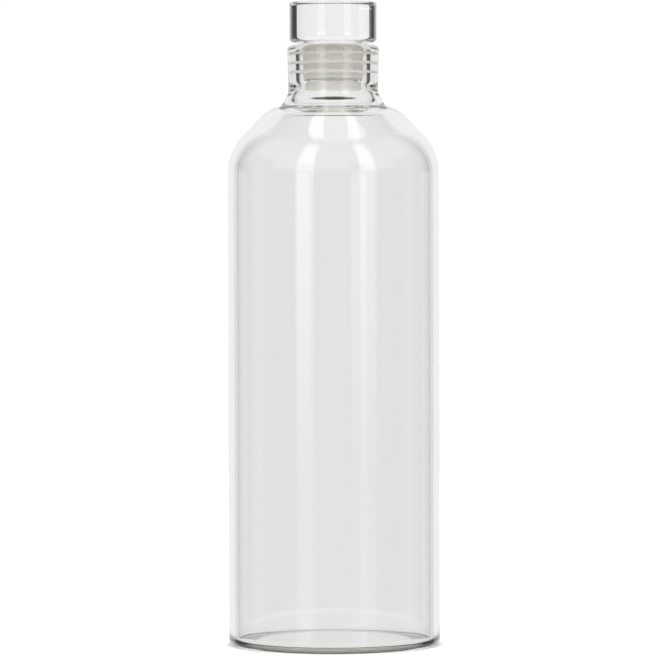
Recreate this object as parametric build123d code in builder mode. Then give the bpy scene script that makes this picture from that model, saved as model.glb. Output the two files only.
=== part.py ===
from build123d import *

# A one-litre glass water bottle closed by a push-in stopper.
#
# Every piece is round about the Z axis. The bottle stands on Z = 0 with its centre at the origin.
# The stopper is a clear knob and stem in one, a silicone sleeve with sealing fins that the stem can
# turn in, and a silicone cap on the end of the stem.
#
# Each outline is drawn in the XZ plane as (radius, height) and turned about Z. Sizes are in millimetres.

import os
from math import atan, cos, degrees, isclose, radians, sin, sqrt, tan

# Bottle body
body_diameter = 88.0
body_wall = 3.45
base_thickness = 2.6
straight_height = 196.7  # the straight wall ends here and the shoulder starts
heel_radius = 3.0
inner_heel_radius = 2.0
foot_ring_width = 5.0  # flat ring that the bottle stands on
recess_depth = 0.4  # shallow recess inside the ring
recess_bevel = 1.0  # how far the recess's edge slopes in

# Shoulder: a bend, a straight slope, a second bend and a nearly level ledge at the neck's foot
shoulder_bend = 23.0
shoulder_slope = 45.0  # degrees from the vertical
ledge_bend = 15.9
ledge_slope = 15.0  # degrees from the level
ledge_flat = 0.6  # what stays straight between the second bend and the corner
ledge_corner = 1.2

# Neck
bore_diameter = 28.4
bore_length = 15.5
neck_wall = 4.45
lip_wall = 4.95
neck_length = 19.5
skirt_flare = 3.1  # how far the neck's foot spreads
skirt_height = 5.4
skirt_bend = 4.0
throat_flare = 3.0  # the same on the inside
throat_bend = 9.0
throat_corner = 7.0
lip_corner = 1.6
mouth_corner = 2.4

# Stopper
knob_height = 16.65
knob_inset = 1.0  # the knob is this much narrower than the lip, all round
knob_gap = 1.35  # from the lip up to the knob
knob_top_corner = 0.6
knob_bottom_corner = 2.0
sleeve_wall = 1.55
sleeve_chamfer = 0.5
sleeve_tail = 2.95  # from the last fin down to the sleeve's end
fin_count = 3
fin_depth = 1.65
fin_root = 1.8
fin_tip = 1.1
fin_fillet = 0.3
fin_pitch = 3.9
fin_drop = 3.2  # from the lip down to the first fin
flange_lap = 0.4  # the flange is this much wider than the bore, and rests in the mouth's rounding
flange_rise = 0.7  # from the lip up to the top of the flange
flange_corner = 0.6
stem_step = 1.2  # the step under the knob and the collar keep the sleeve on the stem
collar_step = 0.9
collar_height = 0.8
cap_step = 1.0
cap_wall = 1.7
cap_height = 4.5
cap_floor = 1.5
cap_corner = 3.4

# Clearances
seat_clearance = 0.05  # stopper in the mouth and bore
turn_clearance = 0.04  # stem in the sleeve

# Half of the angle that each corner of the outer shoulder turns through
shoulder_half_turn = radians(shoulder_slope) / 2
ledge_half_turn = radians(90 - shoulder_slope - ledge_slope) / 2
corner_half_turn = radians(90 - ledge_slope - degrees(atan(skirt_flare / skirt_height))) / 2
slope_fall = 1 / tan(radians(shoulder_slope))
ledge_rise = tan(radians(ledge_slope))

# Radii of the outer outline
body_radius = body_diameter / 2
foot_radius = body_radius - heel_radius
recess_radius = foot_radius - foot_ring_width
bore_radius = bore_diameter / 2
lip_radius = bore_radius + lip_wall
neck_radius = bore_radius + neck_wall
skirt_radius = neck_radius + skirt_flare
ledge_length = ledge_bend * tan(ledge_half_turn) + ledge_flat + ledge_corner * tan(corner_half_turn)
ledge_radius = skirt_radius + ledge_length * cos(radians(ledge_slope))

# Both bends of the shoulder are held to the slope that a narrow body leaves them
slope_length = (body_radius - ledge_radius) / sin(radians(shoulder_slope))
bend_reach = shoulder_bend * tan(shoulder_half_turn) + ledge_bend * tan(ledge_half_turn)
bend_room = min(1, 0.98 * slope_length / bend_reach)
outer_shoulder_bend = shoulder_bend * bend_room
outer_ledge_bend = ledge_bend * bend_room

# Heights of the outer outline
shoulder_z = straight_height + outer_shoulder_bend * tan(shoulder_half_turn)
ledge_z = shoulder_z + (body_radius - ledge_radius) * slope_fall
skirt_z = ledge_z + (ledge_radius - skirt_radius) * ledge_rise
neck_z = skirt_z + skirt_height
lip_z = neck_z + neck_length

# The inner shoulder runs one wall inside the outer one, with its bends about the same centres
inner_radius = body_radius - body_wall
slope_at_axis = shoulder_z + body_radius * slope_fall - body_wall * sqrt(1 + slope_fall**2)
ledge_at_axis = ledge_z + ledge_radius * ledge_rise - body_wall / cos(radians(ledge_slope))
inner_shoulder_z = slope_at_axis - inner_radius * slope_fall
inner_ledge_radius = (slope_at_axis - ledge_at_axis) / (slope_fall - ledge_rise)
inner_ledge_z = ledge_at_axis - inner_ledge_radius * ledge_rise
throat_radius = bore_radius + throat_flare
throat_z = ledge_at_axis - throat_radius * ledge_rise
bore_end_z = lip_z - bore_length

# Sleeve: its fins wipe the bore, and its flange's rounded edge rests in the mouth's rounding
fin_radius = bore_radius - seat_clearance
sleeve_radius = bore_radius - fin_depth
fin_heights = [lip_z - fin_drop - index * fin_pitch for index in range(fin_count)]
sleeve_end_z = fin_heights[-1] - sleeve_tail
flange_radius = bore_radius + flange_lap
rest_distance = mouth_corner + flange_corner + seat_clearance
rest_offset = bore_radius + mouth_corner - (flange_radius - flange_corner)
flange_z = lip_z - mouth_corner - flange_corner + sqrt(rest_distance**2 - rest_offset**2)

# Knob, stem, collar and cap
knob_radius = lip_radius - knob_inset
knob_z = lip_z + knob_gap
knob_top_z = knob_z + knob_height
sleeve_top_z = lip_z + flange_rise
stem_radius = sleeve_radius - sleeve_wall
sleeve_bore_radius = stem_radius + turn_clearance
step_radius = stem_radius + stem_step
step_z = sleeve_top_z + turn_clearance
collar_radius = stem_radius + collar_step
collar_z = sleeve_end_z - turn_clearance
cap_top_z = collar_z - collar_height
cap_end_z = cap_top_z - cap_height
cap_radius = stem_radius + cap_step
spigot_radius = cap_radius - cap_wall
spigot_end_z = cap_end_z + cap_floor


with BuildPart() as bottle_body:
    with BuildSketch(Plane.XZ):
        with BuildLine():
            FilletPolyline(
                (recess_radius, 0),
                (body_radius, 0),
                (body_radius, shoulder_z),
                (ledge_radius, ledge_z),
                (skirt_radius, skirt_z),
                (neck_radius, neck_z),
                (lip_radius, lip_z),
                (bore_radius, lip_z),
                (bore_radius, bore_end_z),
                (throat_radius, throat_z),
                (inner_ledge_radius, inner_ledge_z),
                (inner_radius, inner_shoulder_z),
                (inner_radius, base_thickness),
                (0, base_thickness),
                radius=[
                    heel_radius,
                    outer_shoulder_bend,
                    outer_ledge_bend,
                    ledge_corner,
                    skirt_bend,
                    lip_corner,
                    mouth_corner,
                    throat_bend,
                    throat_corner,
                    outer_ledge_bend - body_wall,
                    outer_shoulder_bend - body_wall,
                    inner_heel_radius,
                ],
            )
            Polyline(
                (0, base_thickness),
                (0, recess_depth),
                (recess_radius - recess_bevel, recess_depth),
                (recess_radius, 0),
            )
        make_face()
    revolve(axis=Axis.Z)

with BuildPart() as stopper_knob:
    with BuildSketch(Plane.XZ):
        with BuildLine():
            FilletPolyline(
                (0, knob_top_z),
                (knob_radius, knob_top_z),
                (knob_radius, knob_z),
                (step_radius, knob_z),
                radius=[knob_top_corner, knob_bottom_corner],
            )
            Polyline(
                (step_radius, knob_z),
                (step_radius, step_z),
                (stem_radius, step_z),
                (stem_radius, collar_z),
                (collar_radius, collar_z),
                (collar_radius, cap_top_z),
                (spigot_radius, cap_top_z),
                (spigot_radius, spigot_end_z),
                (0, spigot_end_z),
                (0, knob_top_z),
            )
        make_face()
    revolve(axis=Axis.Z)

with BuildPart() as seal_sleeve:
    with BuildSketch(Plane.XZ):
        with BuildLine():
            FilletPolyline(
                (sleeve_bore_radius, sleeve_top_z),
                (flange_radius, sleeve_top_z),
                (flange_radius, flange_z),
                (sleeve_radius, flange_z),
                radius=flange_corner,
            )
            Polyline(
                (sleeve_radius, flange_z),
                (sleeve_radius, sleeve_end_z + sleeve_chamfer),
                (sleeve_radius - sleeve_chamfer, sleeve_end_z),
                (sleeve_bore_radius, sleeve_end_z),
                (sleeve_bore_radius, sleeve_top_z),
            )
        make_face()
    revolve(axis=Axis.Z)

    # Each fin narrows from its root to its tip, and starts inside the sleeve's wall
    for height in fin_heights:
        with BuildSketch(Plane.XZ):
            with BuildLine():
                Polyline(
                    (sleeve_radius - sleeve_wall / 2, height + fin_root / 2),
                    (sleeve_radius, height + fin_root / 2),
                    (fin_radius, height + fin_tip / 2),
                    (fin_radius, height - fin_tip / 2),
                    (sleeve_radius, height - fin_root / 2),
                    (sleeve_radius - sleeve_wall / 2, height - fin_root / 2),
                    close=True,
                )
            make_face()
        revolve(axis=Axis.Z)

    circles = seal_sleeve.edges().filter_by(GeomType.CIRCLE)
    fillet(circles.filter_by(lambda edge: isclose(edge.radius, sleeve_radius)), fin_fillet)

with BuildPart() as stem_cap:
    with BuildSketch(Plane.XZ):
        with BuildLine():
            FilletPolyline(
                (cap_radius, cap_top_z),
                (cap_radius, cap_end_z),
                (0, cap_end_z),
                radius=cap_corner,
            )
            Polyline(
                (0, cap_end_z),
                (0, spigot_end_z),
                (spigot_radius, spigot_end_z),
                (spigot_radius, cap_top_z),
                (cap_radius, cap_top_z),
            )
        make_face()
    revolve(axis=Axis.Z)


bottle_body.part.label = "bottle_body"
stopper_knob.part.label = "stopper_knob"
seal_sleeve.part.label = "seal_sleeve"
stem_cap.part.label = "stem_cap"

os.makedirs("parts", exist_ok=True)
export_step(bottle_body.part, "parts/bottle_body.step")
export_step(stopper_knob.part, "parts/stopper_knob.step")
export_step(seal_sleeve.part, "parts/seal_sleeve.step")
export_step(stem_cap.part, "parts/stem_cap.step")
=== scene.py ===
import math

import bmesh
import bpy
from mathutils import Matrix, Vector


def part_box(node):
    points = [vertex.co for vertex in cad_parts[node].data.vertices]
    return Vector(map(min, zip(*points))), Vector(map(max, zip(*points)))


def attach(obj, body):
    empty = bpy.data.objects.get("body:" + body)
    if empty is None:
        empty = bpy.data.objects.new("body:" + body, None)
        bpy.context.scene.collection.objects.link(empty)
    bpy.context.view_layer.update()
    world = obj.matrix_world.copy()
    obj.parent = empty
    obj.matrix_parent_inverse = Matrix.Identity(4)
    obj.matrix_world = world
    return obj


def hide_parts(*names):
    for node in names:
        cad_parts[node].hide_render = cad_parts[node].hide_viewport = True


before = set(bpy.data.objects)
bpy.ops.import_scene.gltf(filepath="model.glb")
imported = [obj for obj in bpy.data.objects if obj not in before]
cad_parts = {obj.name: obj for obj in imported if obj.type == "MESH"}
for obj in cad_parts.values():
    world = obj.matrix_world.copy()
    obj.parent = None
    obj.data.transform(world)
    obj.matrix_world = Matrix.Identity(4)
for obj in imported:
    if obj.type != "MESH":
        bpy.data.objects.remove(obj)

# A clear glass water bottle with a push-in stopper, in a white studio. Lengths are in metres.
# Every piece is turned about the Z axis from an outline of (radius, height) corners.

MM = 0.001
TURN_STEPS = 256  # facets round a piece
ARC_STEP = math.radians(5)  # longest step along a rounded corner

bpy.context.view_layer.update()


# ---------------------------------------------------------------- outlines and turned meshes


def rounded(corners):
    """The points of an outline whose (radius, height, rounding) corners are rounded by arcs."""
    points = []
    for index, (radius, height, rounding) in enumerate(corners):
        corner = Vector((radius, height))
        if rounding == 0:
            points.append(corner)
            continue
        before = (Vector(corners[index - 1][:2]) - corner).normalized()
        after = (Vector(corners[(index + 1) % len(corners)][:2]) - corner).normalized()
        half_angle = before.angle(after) / 2
        reach = rounding / math.tan(half_angle)  # from the corner to either end of its arc
        centre = corner + (before + after).normalized() * rounding / math.sin(half_angle)
        start = corner + before * reach - centre
        turn = start.angle_signed(corner + after * reach - centre)
        steps = max(4, math.ceil(abs(turn) / ARC_STEP))
        for step in range(steps + 1):
            points.append(centre + Matrix.Rotation(-turn * step / steps, 2) @ start)
    return points


def split(points, longest):
    """The same outline, closed, with its long straight runs cut into steps."""
    result = []
    for point, after in zip(points, points[1:] + points[:1]):
        steps = max(1, math.ceil((after - point).length / longest))
        result += [point.lerp(after, step / steps) for step in range(steps)]
    return result


def turned(name, points):
    """A smooth closed mesh made by turning an outline about Z. A point on the axis is one vertex."""
    mesh = bmesh.new()
    rings = []
    for point in points:
        if point.x < 1e-7:
            rings.append([mesh.verts.new((0, 0, point.y))])
            continue
        ring = []
        for step in range(TURN_STEPS):
            angle = math.tau * step / TURN_STEPS
            ring.append(mesh.verts.new((point.x * math.cos(angle), point.x * math.sin(angle), point.y)))
        rings.append(ring)
    for ring, after in zip(rings, rings[1:] + rings[:1]):
        if len(ring) == 1 and len(after) == 1:
            continue
        for step in range(TURN_STEPS):
            beside = (step + 1) % TURN_STEPS
            corners = [ring[step % len(ring)], ring[beside % len(ring)]]
            corners += [after[beside % len(after)], after[step % len(after)]]
            mesh.faces.new(list(dict.fromkeys(corners)))
    bmesh.ops.recalc_face_normals(mesh, faces=mesh.faces)
    data = bpy.data.meshes.new(name)
    mesh.to_mesh(data)
    mesh.free()
    data.shade_smooth()
    piece = bpy.data.objects.new(name, data)
    bpy.context.scene.collection.objects.link(piece)
    return piece


# ---------------------------------------------------------------- sizes

bottle_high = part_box("bottle_body")[1]
knob_low, knob_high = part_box("stopper_knob")
sleeve_low, sleeve_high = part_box("seal_sleeve")
cap_low, cap_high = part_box("stem_cap")

# Base and wall
body_radius = bottle_high.x
wall = 3.45 * MM
inner_radius = body_radius - wall
floor_thickness = 2.6 * MM
heel = 3.0 * MM
inner_heel = 2.0 * MM
foot_ring = 5.0 * MM
recess_radius = body_radius - heel - foot_ring
recess_depth = 0.4 * MM
recess_bevel = 1.0 * MM

# Shoulder: a bend, a slope at 45 degrees, a second bend and a nearly level ledge
straight_z = 196.7 * MM
shoulder_bend = 23.0 * MM
shoulder_z = straight_z + shoulder_bend * math.tan(math.radians(22.5))
ledge_radius = 26.927 * MM
ledge_z = shoulder_z + body_radius - ledge_radius
ledge_bend = 15.9 * MM
ledge_rise = math.tan(math.radians(15))
ledge_corner = 1.2 * MM

# Neck
lip_z = bottle_high.z
lip_radius = 19.15 * MM
lip_corner = 1.6 * MM
mouth_corner = 2.4 * MM
neck_radius = 18.65 * MM
skirt_radius = 21.75 * MM
skirt_height = 5.4 * MM
skirt_bend = 4.0 * MM
skirt_z = ledge_z + (ledge_radius - skirt_radius) * ledge_rise
neck_z = skirt_z + skirt_height
bore_radius = 14.2 * MM
bore_length = 15.5 * MM
throat_radius = 17.2 * MM
throat_bend = 9.0 * MM
throat_corner = 7.0 * MM

# Knob, stem and collar
turn_clearance = 0.04 * MM
edge_break = 0.1 * MM  # the rounding of edges that are nearly sharp
knob_z = lip_z + 1.35 * MM
knob_top_corner = 0.6 * MM
knob_bottom_corner = 2.0 * MM
stem_radius = 11.0 * MM
step_radius = stem_radius + 1.2 * MM
step_corner = 0.3 * MM
collar_radius = 11.9 * MM
collar_round = 0.38 * MM
spigot_radius = 10.3 * MM
spigot_corner = 0.3 * MM

# Sleeve, whose fins are squeezed against the bore
sleeve_radius = 12.55 * MM
sleeve_chamfer = 0.5 * MM
chamfer_corners = (0.3 * MM, 0.2 * MM)
flange_z = 248.19 * MM
flange_corner = 0.6 * MM
flange_inner_corner = 0.2 * MM
fin_count = 3
fin_drop = 3.2 * MM
fin_pitch = 3.9 * MM
fin_root = 1.8 * MM
fin_tip = 1.1 * MM
fin_squeeze = 0.12 * MM
fin_fillet = 0.3 * MM
fin_tip_corner = 0.25 * MM

# Cap
cap_corner = 3.4 * MM
cap_edge = 0.3 * MM
cap_clearance = 0.02 * MM


def bottle_outline():
    # The inner faces of the slope and the ledge run one wall inside the outer ones
    slope_at_axis = shoulder_z + body_radius - wall * math.sqrt(2)
    ledge_at_axis = ledge_z + ledge_radius * ledge_rise - wall * math.hypot(1, ledge_rise)
    crossing = (slope_at_axis - ledge_at_axis) / (1 - ledge_rise)
    corners = [
        (0, recess_depth, 0),
        (recess_radius - recess_bevel, recess_depth, 0),
        (recess_radius, 0, 0),
        (body_radius, 0, heel),
        (body_radius, shoulder_z, shoulder_bend),
        (ledge_radius, ledge_z, ledge_bend),
        (skirt_radius, skirt_z, ledge_corner),
        (neck_radius, neck_z, skirt_bend),
        (lip_radius, lip_z, lip_corner),
        (bore_radius, lip_z, mouth_corner),
        (bore_radius, lip_z - bore_length, throat_bend),
        (throat_radius, ledge_at_axis - throat_radius * ledge_rise, throat_corner),
        (crossing, ledge_at_axis - crossing * ledge_rise, ledge_bend - wall),
        (inner_radius, slope_at_axis - inner_radius, shoulder_bend - wall),
        (inner_radius, floor_thickness, inner_heel),
        (0, floor_thickness, 0),
    ]
    return split(rounded(corners), 4 * MM)


def knob_outline():
    step_z = sleeve_high.z + turn_clearance
    collar_z = sleeve_low.z - turn_clearance
    corners = [
        (0, knob_high.z, 0),
        (knob_high.x, knob_high.z, knob_top_corner),
        (knob_high.x, knob_z, knob_bottom_corner),
        (step_radius, knob_z, step_corner),
        (step_radius, step_z, edge_break),
        (stem_radius, step_z, edge_break),
        (stem_radius, collar_z, edge_break),
        (collar_radius, collar_z, collar_round),
        (collar_radius, cap_high.z, collar_round),
        (spigot_radius, cap_high.z, edge_break),
        (spigot_radius, knob_low.z, spigot_corner),
        (0, knob_low.z, 0),
    ]
    return split(rounded(corners), 3 * MM)


def sleeve_outline():
    fin_radius = bore_radius + fin_squeeze
    inner = stem_radius + turn_clearance
    corners = [
        (inner, sleeve_high.z, flange_inner_corner),
        (sleeve_high.x, sleeve_high.z, flange_corner),
        (sleeve_high.x, flange_z, flange_corner),
        (sleeve_radius, flange_z, fin_fillet),
    ]
    for index in range(fin_count):
        fin_z = lip_z - fin_drop - fin_pitch * index
        corners += [
            (sleeve_radius, fin_z + fin_root / 2, fin_fillet),
            (fin_radius, fin_z + fin_tip / 2, fin_tip_corner),
            (fin_radius, fin_z - fin_tip / 2, fin_tip_corner),
            (sleeve_radius, fin_z - fin_root / 2, fin_fillet),
        ]
    corners += [
        (sleeve_radius, sleeve_low.z + sleeve_chamfer, chamfer_corners[0]),
        (sleeve_radius - sleeve_chamfer, sleeve_low.z, chamfer_corners[1]),
        (inner, sleeve_low.z, edge_break),
    ]
    return split(rounded(corners), 1 * MM)


def cap_outline():
    inner = spigot_radius + cap_clearance
    inner_end_z = knob_low.z - cap_clearance
    corners = [
        (0, cap_low.z, 0),
        (cap_high.x, cap_low.z, cap_corner),
        (cap_high.x, cap_high.z, cap_edge),
        (inner, cap_high.z, edge_break),
        (inner, inner_end_z, cap_edge),
        (0, inner_end_z, 0),
    ]
    return split(rounded(corners), 1 * MM)


# ---------------------------------------------------------------- shader nodes


def new_material(name):
    material = bpy.data.materials.new(name)
    material.use_nodes = True
    nodes = material.node_tree.nodes
    return material, nodes, material.node_tree.links, nodes["Principled BSDF"]


def object_place(nodes):
    return nodes.new("ShaderNodeTexCoord").outputs["Object"]


def ramp(nodes, links, value, near, far):
    """A straight change between two pairs (value, result), which is level beyond them."""
    node = nodes.new("ShaderNodeMapRange")
    node.inputs["From Min"].default_value, node.inputs["To Min"].default_value = near
    node.inputs["From Max"].default_value, node.inputs["To Max"].default_value = far
    links.new(value, node.inputs["Value"])
    return node.outputs["Result"]


def arithmetic(nodes, links, operation, *values, clamp=False):
    """The result of a math node whose inputs are numbers or other nodes' outputs."""
    node = nodes.new("ShaderNodeMath")
    node.operation = operation
    node.use_clamp = clamp
    for socket, value in zip(node.inputs, values):
        if isinstance(value, (int, float)):
            socket.default_value = value
        else:
            links.new(value, socket)
    return node.outputs["Value"]


def uneven_face(nodes, links, shader, scale, detail, depth):
    """Gives the shader bump from a noise, and returns the noise."""
    noise = nodes.new("ShaderNodeTexNoise")
    noise.inputs["Scale"].default_value = scale
    noise.inputs["Detail"].default_value = detail
    links.new(object_place(nodes), noise.inputs["Vector"])
    bump = nodes.new("ShaderNodeBump")
    bump.inputs["Distance"].default_value = depth
    bump.inputs["Strength"].default_value = 1
    links.new(noise.outputs["Fac"], bump.inputs["Height"])
    links.new(bump.outputs["Normal"], shader.inputs["Normal"])
    return noise.outputs["Fac"]


# ---------------------------------------------------------------- materials


def glass(name, tint, density, wave):
    """Clear glass that takes its tint from its thickness, with a face that is faintly wavy."""
    material, nodes, links, shader = new_material(name)
    shader.inputs["Base Color"].default_value = (1, 1, 1, 1)
    shader.inputs["Transmission Weight"].default_value = 1
    shader.inputs["Roughness"].default_value = 0
    shader.inputs["IOR"].default_value = 1.5
    uneven_face(nodes, links, shader, 22, 1, wave)
    volume = nodes.new("ShaderNodeVolumeAbsorption")
    volume.inputs["Color"].default_value = (*tint, 1)
    volume.inputs["Density"].default_value = density
    links.new(volume.outputs["Volume"], nodes["Material Output"].inputs["Volume"])
    return material


def silicone(name):
    """Translucent silicone: light scatters inside it, and its moulded face is faintly uneven."""
    material, nodes, links, shader = new_material(name)
    shader.inputs["Base Color"].default_value = (0.68, 0.66, 0.625, 1)
    shader.inputs["Subsurface Weight"].default_value = 1
    shader.inputs["Subsurface Radius"].default_value = (1, 1, 1)
    shader.inputs["Subsurface Scale"].default_value = 6 * MM
    shader.inputs["IOR"].default_value = 1.42
    grain = uneven_face(nodes, links, shader, 900, 3, 0.02 * MM)
    links.new(ramp(nodes, links, grain, (0, 0.2), (1, 0.35)), shader.inputs["Roughness"])
    return material


bottle_glass = glass("bottle_glass", (0.50, 0.53, 0.40), 11, 0.01 * MM)
knob_glass = glass("knob_glass", (0.92, 0.95, 0.93), 2, 0.002 * MM)
seal_silicone = silicone("seal_silicone")

# ---------------------------------------------------------------- pieces


def finish_piece(piece, body, node, material):
    piece.data.materials.append(material)
    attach(piece, body)
    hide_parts(node)


finish_piece(turned("glass_bottle", bottle_outline()), "bottle", "bottle_body", bottle_glass)
finish_piece(turned("clear_knob", knob_outline()), "knob", "stopper_knob", knob_glass)
finish_piece(turned("finned_sleeve", sleeve_outline()), "plug", "seal_sleeve", seal_silicone)
finish_piece(turned("end_cap", cap_outline()), "knob", "stem_cap", seal_silicone)

# ---------------------------------------------------------------- camera

CAMERA_DISTANCE = 1.572
EYE_HEIGHT = 0.1572
AIM_HEIGHT = 0.1321
SIDE_STEP = -0.00235
LENS = 206.85
ROLL = math.radians(0.15)

camera_data = bpy.data.cameras.new("camera")
camera_data.lens = LENS
camera_data.sensor_width = 36
camera_data.clip_start = 0.05
camera_data.clip_end = 50
camera = bpy.data.objects.new("camera", camera_data)
bpy.context.scene.collection.objects.link(camera)
camera.location = (SIDE_STEP, -CAMERA_DISTANCE, EYE_HEIGHT)
pitch = math.atan((EYE_HEIGHT - AIM_HEIGHT) / CAMERA_DISTANCE)
camera.rotation_euler = (math.pi / 2 - pitch, ROLL, 0)
bpy.context.scene.camera = camera
bpy.context.view_layer.update()

# ---------------------------------------------------------------- studio

AMBIENT = (1.03, 1.03, 1.03, 1)  # what the camera and light on matt faces see of the room
DARK_ROOM = (0.065, 0.060, 0.053, 1)  # what the glass sees of it beside the cards
TABLE_LIGHT = (0.9, 0.9, 0.9, 1)  # what the glass sees well below the horizon: a white table
TABLE_START = -0.12  # height, on a unit sphere of directions, where the table starts to show
TABLE_FULL = -0.32  # and where it is at full strength
REAR_LIGHT = 0.92
REAR_EDGE_LIGHT = 0.80
SIDE_LIGHT = 0.36
NECK_LIGHT = 3.2
TOP_LIGHT = 2.0
CEILING_LIGHT = 0.6

CARD_FOOT = -0.5
CARD_TOP = 2.0
REAR_TOP = 2.5
NECK_BAND = (0.285, 0.31)  # heights of the strips that the front of the neck mirrors
TOP_HEIGHT = 1.4
TOP_DEPTH = (-0.37, 0.13)


def stage_object(name, mesh, material):
    data = bpy.data.meshes.new(name)
    mesh.to_mesh(data)
    mesh.free()
    data.materials.append(material)
    piece = bpy.data.objects.new(name, data)
    bpy.context.scene.collection.objects.link(piece)
    return piece


def emission(name):
    """A material that only shines, with the socket of its strength."""
    material = bpy.data.materials.new(name)
    material.use_nodes = True
    nodes, links = material.node_tree.nodes, material.node_tree.links
    nodes.clear()
    light = nodes.new("ShaderNodeEmission")
    output = nodes.new("ShaderNodeOutputMaterial")
    links.new(light.outputs["Emission"], output.inputs["Surface"])
    return material, nodes, links, light.inputs["Strength"]


def even_light(name, strength):
    material, nodes, links, socket = emission(name)
    socket.default_value = strength
    return material


def graded_light(name, measure, near, far):
    """A light that changes with its height, |X| or distance, between two pairs (measure, strength)."""
    material, nodes, links, socket = emission(name)
    place = object_place(nodes)
    if measure == "distance":
        length = nodes.new("ShaderNodeVectorMath")
        length.operation = "LENGTH"
        links.new(place, length.inputs[0])
        value = length.outputs["Value"]
    else:
        axes = nodes.new("ShaderNodeSeparateXYZ")
        links.new(place, axes.inputs["Vector"])
        value = axes.outputs["Z"]
        if measure == "side":
            value = arithmetic(nodes, links, "ABSOLUTE", axes.outputs["X"])
    links.new(ramp(nodes, links, value, near, far), socket)
    return material


def light_card(name, point, columns, rows, material):
    """A sheet of light through point(u, v), for u and v from 0 to 1, that only the glass sees."""
    mesh = bmesh.new()
    grid = []
    for row in range(rows + 1):
        grid.append([mesh.verts.new(point(column / columns, row / rows)) for column in range(columns + 1)])
    for row in range(rows):
        for column in range(columns):
            mesh.faces.new((grid[row][column], grid[row][column + 1],
                            grid[row + 1][column + 1], grid[row + 1][column]))
    card = stage_object(name, mesh, material)
    card.visible_camera = False
    card.visible_diffuse = False
    card.visible_shadow = False
    card.parent = camera
    card.matrix_parent_inverse = camera.matrix_world.inverted()


def upright(distance, azimuths, heights):
    """Points of an upright curved card. Azimuth 0 is towards the camera, growing to its right."""
    def point(u, v):
        azimuth = math.radians(azimuths[0] + (azimuths[1] - azimuths[0]) * u)
        height = heights[0] + (heights[1] - heights[0]) * v
        return (math.sin(azimuth) * distance, -math.cos(azimuth) * distance, height)
    return point


def overhead(across, along):
    """Points of a level card."""
    def point(u, v):
        return (across[0] + (across[1] - across[0]) * u, along[0] + (along[1] - along[0]) * v, TOP_HEIGHT)
    return point


# The bright back that shows through the bottle
rear_light = graded_light("rear", "side", (0.60, REAR_LIGHT), (0.90, REAR_EDGE_LIGHT))
light_card("rear_card", upright(1.3, (136, 224), (CARD_FOOT, REAR_TOP)), 24, 2, rear_light)

# The two tall soft highlights on its front, which are brighter on the neck
strip_light = graded_light("strip", "height", (0.01, 0.35), (0.5, 2.2))
neck_strip_light = even_light("neck_strip", NECK_LIGHT)
for side_name, azimuths in (("left", (-41, -21.5)), ("right", (29, 47))):
    low_strip = upright(1.2, azimuths, (CARD_FOOT, NECK_BAND[0]))
    light_card(side_name + "_strip", low_strip, 8, 2, strip_light)
    light_card(side_name + "_neck_strip", upright(1.2, azimuths, NECK_BAND), 8, 1, neck_strip_light)
    high_strip = upright(1.2, azimuths, (NECK_BAND[1], CARD_TOP))
    light_card(side_name + "_high_strip", high_strip, 8, 2, strip_light)

# Dim cards beside it. The ones further back are low, so that the knob and neck keep dark edges
side_light = even_light("side", SIDE_LIGHT)
for side in (-1, 1):
    side_card = upright(1.25, (side * 85, side * 112), (CARD_FOOT, CARD_TOP))
    light_card("side_card", side_card, 6, 2, side_light)
    low_side_card = upright(1.25, (side * 112, side * 134), (CARD_FOOT, 0.25))
    light_card("low_side_card", low_side_card, 6, 2, side_light)

# Two lamps over the shoulder, with a dim ceiling between them
top_light = even_light("top", TOP_LIGHT)
light_card("left_top", overhead((-0.345, -0.14), TOP_DEPTH), 2, 2, top_light)
light_card("right_top", overhead((0.21, 0.47), TOP_DEPTH), 2, 2, top_light)
light_card("ceiling", overhead((-0.14, 0.21), (-0.6, 0.6)), 2, 2, even_light("ceiling", CEILING_LIGHT))


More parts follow.
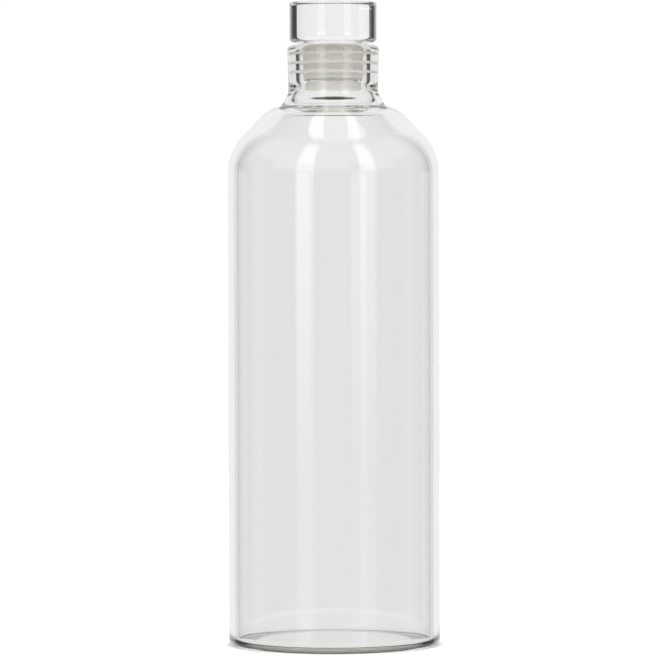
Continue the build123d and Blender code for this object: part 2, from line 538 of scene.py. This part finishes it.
def floor_with_painted_shadow():
    """White floor paint that glows faintly all over, but for a painted shadow to the left and right of the
    bottle, where the glow is held back.
    """
    painted_shadow_side = (0.044, 0.072)
    painted_shadow_depth = (0.012, 0.054)
    painted_shadow_middle = 0.008
    lift = 0.32
    material, nodes, links, shader = new_material("floor_with_painted_shadow")
    shader.inputs["Base Color"].default_value = (1, 1, 1, 1)
    shader.inputs["Roughness"].default_value = 0.9
    shader.inputs["Specular IOR Level"].default_value = 0
    axes = nodes.new("ShaderNodeSeparateXYZ")
    links.new(object_place(nodes), axes.inputs["Vector"])
    painted_shadows = []
    # Painted shadow: two soft lobes beside the bottle, across X and in depth, where the floor's glow fades
    # out
    for axis, middle, (near, far) in (("X", 0, painted_shadow_side), ("Y", painted_shadow_middle, painted_shadow_depth)):
        offset = arithmetic(nodes, links, "SUBTRACT", axes.outputs[axis], middle)
        size = arithmetic(nodes, links, "ABSOLUTE", offset)
        painted_shadows.append(ramp(nodes, links, size, (near, 1), (far, 0)))
    painted_shadow = arithmetic(nodes, links, "MULTIPLY", *painted_shadows)
    shader.inputs["Emission Color"].default_value = (1, 1, 1, 1)
    links.new(ramp(nodes, links, painted_shadow, (0, lift), (1, 0)), shader.inputs["Emission Strength"])
    return material


def disc(radius, height):
    mesh = bmesh.new()
    bmesh.ops.create_circle(mesh, cap_ends=True, segments=96, radius=radius)
    bmesh.ops.translate(mesh, verts=mesh.verts, vec=(0, 0, height))
    return mesh


# The floor, which carries a painted shadow beside the bottle
floor = stage_object("floor", disc(1.3, 0), floor_with_painted_shadow())
floor.visible_glossy = False
floor.visible_transmission = False

# What the glass shows of the floor right under it: a glowing disc, dimmer at its middle as a painted shadow
# under the bottle
painted_shadow_glow_light = graded_light("glow", "distance", (0.03, 0.8), (0.06, REAR_LIGHT))
glow = stage_object("floor_glow_painted_shadow", disc(0.06, -0.5 * MM), painted_shadow_glow_light)
glow.visible_camera = False
glow.visible_diffuse = False
glow.visible_glossy = False
glow.visible_shadow = False


def build_world():
    """A white room to the camera and to matt faces, and to the glass a dark one with a white table."""
    world = bpy.data.worlds.new("studio")
    bpy.context.scene.world = world
    world.use_nodes = True
    nodes, links = world.node_tree.nodes, world.node_tree.links
    direction = nodes.new("ShaderNodeTexCoord").outputs["Generated"]
    axes = nodes.new("ShaderNodeSeparateXYZ")
    links.new(direction, axes.inputs["Vector"])
    room = nodes.new("ShaderNodeMix")
    room.data_type = "RGBA"
    links.new(ramp(nodes, links, axes.outputs["Z"], (TABLE_START, 0), (TABLE_FULL, 1)), room.inputs["Factor"])
    room.inputs["A"].default_value = DARK_ROOM
    room.inputs["B"].default_value = TABLE_LIGHT
    path = nodes.new("ShaderNodeLightPath").outputs
    either = arithmetic(nodes, links, "MAXIMUM", path["Is Camera Ray"], path["Diffuse Depth"], clamp=True)
    tone = nodes.new("ShaderNodeMix")
    tone.data_type = "RGBA"
    links.new(either, tone.inputs["Factor"])
    links.new(room.outputs["Result"], tone.inputs["A"])
    tone.inputs["B"].default_value = AMBIENT
    links.new(tone.outputs["Result"], nodes["Background"].inputs["Color"])


build_world()

scene = bpy.context.scene
scene.view_settings.view_transform = "Standard"
scene.cycles.max_bounces = 24
scene.cycles.transmission_bounces = 24
scene.cycles.glossy_bounces = 12
scene.cycles.transparent_max_bounces = 24
scene.cycles.blur_glossy = 0
